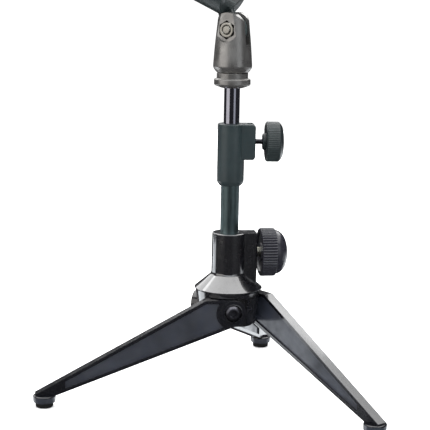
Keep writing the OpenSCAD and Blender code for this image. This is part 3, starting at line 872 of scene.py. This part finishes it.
UPPER_TUBE_R = 5.5
PRESSURE_PAD = 2.15
BASE_STUD_R, BASE_STUD_END, BASE_PITCH, BASE_TOOTH = 3.95, 30.0, 1.25, 0.6
CLUTCH_SCREW_R, CLUTCH_SCREW_END, CLUTCH_PITCH, CLUTCH_TOOTH = 1.95, 32.0, 0.7, 0.32
base_stud = threaded(BASE_STUD_R, BASE_PITCH, LOWER_TUBE_R + PRESSURE_PAD, BASE_STUD_END, BASE_TOOTH)
placed(base_stud, "base_stud_thread", along_screw("base_knob_turn"), "base_knob", "base_stud", ZINC_STEEL)
clutch_screw = threaded(
    CLUTCH_SCREW_R, CLUTCH_PITCH, UPPER_TUBE_R + PRESSURE_PAD, CLUTCH_SCREW_END, CLUTCH_TOOTH
)
placed(
    clutch_screw, "clutch_screw_thread", along_screw("clutch_knob_turn"),
    "clutch_knob", "clutch_screw", BLACK_STEEL,
)

# %% [markdown]
# ## Knobs
# Both knobs are moulded wheels with a ribbed band. A ring of points is pushed in and out round
# its circle to make the ribs, then extruded up the band ring by ring, and the ribs fade out
# where the band meets the dome.


# %% Ribbed wheels
def ribbed_wheel(rings, ribs, depth, per_rib=8):
    """Rings are (radius, height, share of rib depth); the last closes to a point."""
    bm = bmesh.new()
    bmesh.ops.create_circle(bm, cap_ends=False, radius=1.0, segments=ribs * per_rib)
    loop = bm.edges[:]
    for count, (radius, height, share) in enumerate(rings):
        if count:
            grown = bmesh.ops.extrude_edge_only(bm, edges=loop)["geom"]
            loop = [e for e in grown if isinstance(e, bmesh.types.BMEdge)]
        ring = {v for e in loop for v in e.verts}
        for v in ring:
            turn = math.atan2(v.co.y, v.co.x)
            wave = 0.5 + 0.5 * math.cos(ribs * turn)
            r = max(radius - depth * share * (1 - wave ** 0.6), 1e-4)
            v.co = (r * math.cos(turn), r * math.sin(turn), height)
    bmesh.ops.remove_doubles(bm, verts=bm.verts, dist=1e-2)
    bmesh.ops.recalc_face_normals(bm, faces=bm.faces)
    return bm


print("ribbed wheel ready")

# %% [markdown]
# The base knob's outline starts in the threaded hole, crosses the hollow back with its boss,
# climbs the ribbed band and ends in a dome. The dome is a quarter of an ellipse round a small
# flat, so its highlight is broad and soft.

# %% Base knob
BASE_KNOB_X, BASE_BAND, BASE_DOME, BASE_KNOB_R = RIB_REACH + 2.6, 10.9, 8.5, 17.2
BASE_RIBS, BASE_RIB_DEPTH, DOME_STEPS = 52, 0.7, 12
band_edge = BASE_KNOB_R - 1.2
dome_edge, dome_flat = band_edge - 0.3, BASE_KNOB_R * 0.2
base_rings = [
    (3.0, 8.4, 0), (3.97, 8.4, 0), (3.97, 0.6, 0), (6.5, 0.6, 0), (6.8, 1.6, 0), (13.4, 1.6, 0),
    (13.8, 0.3, 0), (14.2, 0, 0), (band_edge - 0.2, 0, 0), (BASE_KNOB_R - 0.4, 0.4, 0.7),
    (BASE_KNOB_R, 1.0, 1), (BASE_KNOB_R, BASE_BAND - 1.0, 1),
    (BASE_KNOB_R - 0.35, BASE_BAND - 0.3, 0.8), (band_edge, BASE_BAND, 0.1), (dome_edge, BASE_BAND, 0),
]
for step in range(1, DOME_STEPS):
    lift = math.radians(90 * step / DOME_STEPS)
    reach = dome_flat + (dome_edge - dome_flat) * math.cos(lift)
    base_rings.append((reach, BASE_BAND + BASE_DOME * math.sin(lift), 0))
base_rings.append((0, BASE_BAND + BASE_DOME, 0))
placed(
    ribbed_wheel(base_rings, BASE_RIBS, BASE_RIB_DEPTH), "base_knob_ribbed",
    along_screw("base_knob_turn") @ Matrix.Translation((0, 0, BASE_KNOB_X)),
    "base_knob", "base_knob", KNOB_PLASTIC,
)

# %% [markdown]
# The clutch's knob is smaller and flatter, with finer ribs, a stepped face and a boss behind
# that keeps the wheel clear of the clutch.

# %% Clutch knob
BOSS_REACH, KNOB_BOSS = 16.8, 5.2
CLUTCH_KNOB_X, CLUTCH_KNOB_R, CLUTCH_KNOB_L = BOSS_REACH + KNOB_BOSS, 14.1, 12.8
CLUTCH_RIBS, CLUTCH_RIB_DEPTH = 64, 0.28
band_end = CLUTCH_KNOB_L - 1.0
clutch_rings = [
    (1.5, 8.0, 0), (1.97, 8.0, 0), (1.97, 0, 0), (5.4, 0, 0), (5.85, 0.4, 0), (5.85, 2.0, 0),
    (12.4, 2.0, 0), (13.3, 2.3, 0.6), (CLUTCH_KNOB_R, 3.0, 1), (CLUTCH_KNOB_R, band_end - 0.9, 1),
    (13.7, band_end - 0.1, 0.8), (13.1, band_end + 0.2, 0.3), (12.2, band_end + 1.1, 0),
    (10.2, band_end + 2.1, 0), (7.0, band_end + 2.7, 0), (3.5, band_end + 3.0, 0), (0, band_end + 3.0, 0),
]
placed(
    ribbed_wheel(clutch_rings, CLUTCH_RIBS, CLUTCH_RIB_DEPTH, 6), "clutch_knob_ribbed",
    along_screw("clutch_knob_turn") @ Matrix.Translation((0, 0, CLUTCH_KNOB_X)),
    "clutch_knob", "clutch_knob", CLUTCH_KNOB_PLASTIC,
)

# %% [markdown]
# ## Pole
# Two drawn tubes, one sliding in the other. A tube is a spun wall with slightly rounded ends.
# The lower one has a dark satin finish, and the upper one is plated dark and polished.

# %% Tubes
lower_low, lower_high = (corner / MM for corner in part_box("lower_tube"))
upper_low, upper_high = (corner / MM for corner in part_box("upper_tube"))
UPPER_WALL = 1.2


def tube_wall(outer, inner, low, high):
    ends = [(inner, low, 0.15), (outer, low, 0.3), (outer, high, 0.3), (inner, high, 0.15)]
    return turned(ends, closed=True)


lower_tube = tube_wall(LOWER_TUBE_R, UPPER_TUBE_R + RUNNING, lower_low.z, lower_high.z)
upper_tube = tube_wall(UPPER_TUBE_R, UPPER_TUBE_R - UPPER_WALL, upper_low.z, upper_high.z)
placed(lower_tube, "lower_tube_satin", on_pole(), "lower_pole", "lower_tube", SATIN_TUBE)
placed(upper_tube, "upper_tube_polished", on_pole(), "upper_pole", "upper_tube", DARK_CHROME)

# %% [markdown]
# ## Clutch
# The clutch is a moulded sleeve on the lower tube's top. Its side boss holds a captive nut,
# which was dropped in through the slot in the boss's top.

# %% Clutch body
clutch_low, clutch_high = (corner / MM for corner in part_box("clutch_body"))
CLUTCH_R, BOSS_H, BOSS_W, BOSS_CORNER = 9.5, 25.0, 13.0, 1.5
NUT_X, NUT_AF, NUT_T = BOSS_REACH - 5.4, 7.0, 3.2
SNUG, NUT_GAP = 0.02, 0.1


def boss_blank(top):
    """The side boss, its two outer corners cut off, standing towards +X."""
    foot, nose = top - BOSS_H, BOSS_REACH - BOSS_CORNER
    outline = [
        (0, foot), (nose, foot), (BOSS_REACH, foot + BOSS_CORNER),
        (BOSS_REACH, top - BOSS_CORNER), (nose, top), (0, top),
    ]
    return rounded(moved(plate(outline, -BOSS_W / 2, BOSS_W / 2), STAND), 1.2, 28, 4)


def nut_slot_blank(screw_z, top):
    """The slot that the captive nut is dropped through, down to its seat."""
    half = NUT_AF / 2 + 0.15
    back, front = NUT_X - NUT_GAP, NUT_X + NUT_T + NUT_GAP
    plan = [(back, -half), (front, -half), (front, half), (back, half)]
    return plate(plan, screw_z - NUT_AF * 0.6, top + 5)


def clutch_moulding():
    low, top = clutch_low.z, clutch_high.z
    screw_z = top - BOSS_H / 2
    sleeve = turned([
        (0, low), (CLUTCH_R - 2.0, low, 0.6), (CLUTCH_R, low + 2.6, 1.2), (CLUTCH_R, top, 0.8), (0, top),
    ])
    body = joined(sleeve, boss_blank(top))
    wide = rod(LOWER_TUBE_R + SNUG, low - 5, top - BOSS_H - 1, 96)
    narrow = rod(UPPER_TUBE_R + RUNNING, low, top + 5, 96)
    screw = moved(rod(2.0, 0, 30), Matrix.Translation((0, 0, screw_z)) @ ALONG_X)
    body = cut_by(body, wide, narrow, screw, nut_slot_blank(screw_z, top))
    return rounded(body, 0.25, 40, 2)


placed(
    clutch_moulding(), "clutch_body_moulding", on_pole(0, heading("clutch_knob_turn")),
    "lower_pole", "clutch_body", CLUTCH_PLASTIC,
)

# %% [markdown]
# ## Top collar
# The top collar is a turned ring on the upper tube's end, with a flange that is bevelled
# underneath, so one closed outline and one spin make it.

# %% Top collar
collar_low, collar_high = (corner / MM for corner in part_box("top_collar"))
FLANGE_R, NECK_R = 12.7, 10.9


def turned_collar():
    low, top = collar_low.z, collar_high.z
    bore, flange_top = UPPER_TUBE_R + SNUG, low + 6.2
    return turned([
        (bore, low), (bore + 2, low, 0.3), (FLANGE_R - 0.5, low + 1.7, 0.6), (FLANGE_R, low + 2.4, 0.4),
        (FLANGE_R, flange_top, 0.7), (NECK_R + 0.3, flange_top, 0.4), (NECK_R, flange_top + 0.4, 0.3),
        (NECK_R, top, 0.4), (bore, top),
    ], closed=True)


placed(turned_collar(), "top_collar_turned", on_pole(), "upper_pole", "top_collar", GREY_LACQUER)

# %% [markdown]
# ## Fork
# The fork is a tapered barrel whose top is cut to two round ears with a slot between them. On
# each ear a round flat seats the bolt: a hexagonal pocket holds the nut on the near side, and a
# round one takes the head on the far side. The barrel is spun, kept only inside the outline of
# the ears by an INTERSECT, and then cut.

# %% Sizes of the fork
FORK_LOW = (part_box("fork")[0] / MM).z - BOLT_Z
FORK_R, EAR_R, SLOT_W, FORK_FLAT, FLAT_R = 13.7, 11.8, 6.5, 9.4, 8.4
SLOT_FLOOR = -10.2
INSERT_R, INSERT_H = 9.62, 14.5
NUT_POCKET, NUT_POCKET_AF = 3.3, 11.5
HEAD_POCKET, HEAD_POCKET_R, BOLT_HOLE_R = 2.8, 5.3, 2.97
BEYOND = 30.0
print(f"fork from {FORK_LOW:.1f} to {EAR_R:.1f} mm, measured from its bolt")


# %% Fork casting
def ears_outline():
    """The ears' round top, and everything below their shoulders."""
    skirt = [(-EAR_R, -2), (-BEYOND, -2), (-BEYOND, FORK_LOW - 1), (BEYOND, FORK_LOW - 1), (BEYOND, -2)]
    return arc((0, 0), EAR_R, 0, 180, 48) + skirt + [(EAR_R, -2)]


def fork_casting():
    """The fork in the bolt's frame, its origin on the bolt."""
    low, top = FORK_LOW, EAR_R + 1
    barrel = turned([
        (0, low), (NECK_R + 0.2, low, 0.4), (FORK_R, low + 3.2, 1.6), (FORK_R - 1.1, low + 19.2, 6),
        (FORK_R - 2.2, 0, 4), (FORK_R - 3.5, top), (0, top),
    ], steps=128)
    half = SLOT_W / 2
    barrel = combined(barrel, moved(plate(ears_outline(), -BEYOND, BEYOND), STAND), "INTERSECT")
    slot_plan = [(-BEYOND, -half), (BEYOND, -half), (BEYOND, half), (-BEYOND, half)]
    flat_plan = arc((0, 0), FLAT_R, 180, 360, 40) + [(FLAT_R, BEYOND), (-FLAT_R, BEYOND)]
    near_flat = moved(plate(flat_plan, FORK_FLAT, BEYOND), STAND)
    far_flat = moved(plate(flat_plan, -BEYOND, -FORK_FLAT), STAND)
    body = cut_by(barrel, plate(slot_plan, SLOT_FLOOR, BEYOND), near_flat, far_flat)
    body = rounded(body, 0.45, 30, 3)
    thread = rod(INSERT_R, low - 5, low + INSERT_H + SNUG, 96)
    bolt_hole = moved(rod(BOLT_HOLE_R, -20, 20), ALONG_Y)
    hexagon = moved(rod(NUT_POCKET_AF / math.sqrt(3), -20, -FORK_FLAT + NUT_POCKET, 6), ALONG_Y)
    head_seat = moved(rod(HEAD_POCKET_R, FORK_FLAT - HEAD_POCKET, 20), ALONG_Y)
    return cut_by(body, thread, bolt_hole, hexagon, head_seat)


placed(fork_casting(), "fork_casting", on_bolt(), "fork", "fork", GREY_LACQUER)

# %% [markdown]
# ## Nut and bolt
# The nut is a six-sided bar kept inside a shallow cone, which trims its outer corners to the
# curved edges that a real nut has. The bolt is turned, and two crossed plates cut its recess.

# %% Fork nut
SEAT = 0.05
NUT_FRONT = -FORK_FLAT + NUT_POCKET - SEAT
FORK_NUT_AF, FORK_NUT_T, BOLT_R = 10.0, 3.9, 2.95


def hex_nut():
    """A hexagon cut to a shallow cone on its outer face, with its bolt hole."""
    across = FORK_NUT_AF / math.sqrt(3)
    thick, bore = FORK_NUT_T, BOLT_R + SNUG
    cone = turned([(0, -1), (across + 1, -1), (across + 1, thick - 1.3), (across - 0.9, thick), (0, thick)])
    blank = combined(rod(across, 0, thick, 6), cone, "INTERSECT")
    hole = turned([
        (0, -1), (bore, -1), (bore, thick - 0.6), (bore + 0.6, thick + 0.01),
        (bore + 0.6, thick + 1), (0, thick + 1),
    ])
    return rounded(cut_by(blank, hole), 0.1, 30, 2)


a_corner_up = Matrix.Rotation(math.pi / 6, 4, "Z")
facing_out = Matrix.Translation((0, NUT_FRONT, 0)) @ STAND @ a_corner_up
placed(hex_nut(), "fork_nut_hexagon", on_bolt() @ facing_out, "fork", "fork_nut", NUT_STEEL)

# %% Fork bolt
BOLT_TIP = -FORK_FLAT - 1.0
BOLT_HEAD_Y, BOLT_HEAD_T, BOLT_HEAD_R = FORK_FLAT - HEAD_POCKET + SEAT, 2.8, 5.0
CROSS_HALF, CROSS_T, CROSS_DEPTH = 2.6, 0.9, 1.5


def bolt_with_head():
    head = BOLT_HEAD_Y + BOLT_HEAD_T
    shank = turned([
        (0, BOLT_TIP), (BOLT_R - 0.5, BOLT_TIP, 0.2), (BOLT_R, BOLT_TIP + 0.5, 0.1), (BOLT_R, BOLT_HEAD_Y),
        (BOLT_HEAD_R, BOLT_HEAD_Y, 0.2), (BOLT_HEAD_R, head - 1.3, 0.6), (3.4, head, 0.8), (0, head),
    ])
    long, thin = CROSS_HALF, CROSS_T / 2
    bar_plan = [(-long, -thin), (long, -thin), (long, thin), (-long, thin)]
    bar, crossing = [plate(bar_plan, head - CROSS_DEPTH, 12) for _ in range(2)]
    moved(crossing, Matrix.Rotation(math.pi / 2, 4, "Z"))
    return cut_by(shank, bar, crossing)


placed(bolt_with_head(), "fork_bolt_steel", on_bolt() @ ALONG_Y, "fork", "fork_bolt", NUT_STEEL)

# %% [markdown]
# ## Clip
# The clip is one springy moulding, a C in section. Its outside is centred a little lower than
# its bore, so it is thick at the belly and thin at the lips, which can then spring open for a
# microphone's handle. A hollow under it clears the fork's ears, and a tongue fits their slot.

# %% Sizes of the clip
GRIP_R, CLIP_R, CLIP_L = 13.2, 17.6, 58.0
GRIP_Z = EAR_R + 1.2 + GRIP_R
CLIP_BELLY, CLIP_END, EAR_GAP = 3.0, 8.5, 0.6
MOUTH, OUTER_LIP, INNER_LIP = 52.0, 3.4, 4.2         # half of the opening and the lips' share, in degrees
TONGUE_R, TONGUE_T, TONGUE_FOOT = 9.6, 5.3, 18.0
CLIP_TILT = math.radians(23)
# turns X to Y, Y to Z and Z to X, so that a section drawn in X-Y runs along X
SECTION_ALONG_X = Matrix(((0, 0, 1, 0), (1, 0, 0, 0), (0, 1, 0, 0), (0, 0, 0, 1)))
print(f"clip bore {GRIP_R * 2:.1f} mm, its axis {GRIP_Z:.1f} mm from the bolt")


# %% Section of the clip
def lip(start, end):
    """A half circle, turning left, that rounds a lip from one face to the other."""
    middle = ((start[0] + end[0]) / 2, (start[1] + end[1]) / 2)
    radius = math.dist(start, end) / 2
    begin = math.degrees(math.atan2(start[1] - middle[1], start[0] - middle[0]))
    return arc(middle, radius, begin, begin + 180, 8)[1:-1]


def clip_section():
    """The C in section: round the outside, over a lip, back round the bore, over the other lip."""
    lean = math.degrees(math.asin(CLIP_BELLY * math.sin(math.radians(MOUTH)) / CLIP_R))
    outer, inner = MOUTH - lean + OUTER_LIP, MOUTH + INNER_LIP
    outside = arc((0, GRIP_Z - CLIP_BELLY), CLIP_R, 90 + outer, 450 - outer, 80)
    inside = arc((0, GRIP_Z), GRIP_R, 450 - inner, 90 + inner, 72)
    return outside + lip(outside[-1], inside[0]) + inside + lip(inside[-1], outside[0])


print("points in the clip's section:", len(clip_section()))


# %% Clip moulding
def clip_moulding():
    """The clip in the bolt's frame, level, its nose towards -X."""
    nose, tail, floor_z = -CLIP_END - CLIP_L, -CLIP_END, GRIP_Z - GRIP_R + 1
    barrel = rounded(moved(plate(clip_section(), nose, tail), SECTION_ALONG_X), 0.6, 60, 4)
    ear_hollow = moved(rod(EAR_R + EAR_GAP, -CLIP_R, CLIP_R, 96), ALONG_Y)
    lug = moved(rod(TONGUE_R, -TONGUE_T / 2, TONGUE_T / 2, 96), ALONG_Y)
    web = [
        (-TONGUE_R, 0), (TONGUE_R, 0), (tail, floor_z), (-TONGUE_FOOT, floor_z), (-TONGUE_FOOT, EAR_R - 1),
    ]
    tongue = joined(lug, moved(plate(web, -TONGUE_T / 2, TONGUE_T / 2), STAND))
    grip_axis = Matrix.Translation((0, 0, GRIP_Z)) @ SECTION_ALONG_X
    bore = moved(rod(GRIP_R, nose - 5, tail + 5, 96), grip_axis)
    bolt_hole = moved(rod(BOLT_R + RUNNING, -10, 10), ALONG_Y)
    tongue = cut_by(tongue, bore, bolt_hole)
    return joined(cut_by(barrel, ear_hollow), tongue)


tilted = on_bolt() @ Matrix.Rotation(CLIP_TILT, 4, "Y")
placed(clip_moulding(), "clip_moulding", tilted, "clip", "clip", CLIP_PLASTIC)

# %% [markdown]
# ## Pieces that keep their frame shape
# Washers, pads, plugs, the captive nut and the thread's stud and insert are plain turned parts,
# mostly hidden. Their shapes are already right, so they only get their finish.

# %% Finishes for the remaining pieces
KEPT = {
    "pivot_washers": BLACK_NYLON, "clip_washers": BLACK_NYLON,
    "lower_tube_plug": BLACK_NYLON, "upper_tube_plug": BLACK_NYLON,
    "base_pad": BRASS, "clutch_pad": BRASS, "thread_insert": BRASS,
    "clutch_nut": ZINC_STEEL, "threaded_stud": ZINC_STEEL,
}
for node, finish in KEPT.items():
    mesh = frame["nodes"][node].data
    mesh.materials.clear()
    mesh.materials.append(finish)
print("kept:", sorted(KEPT))
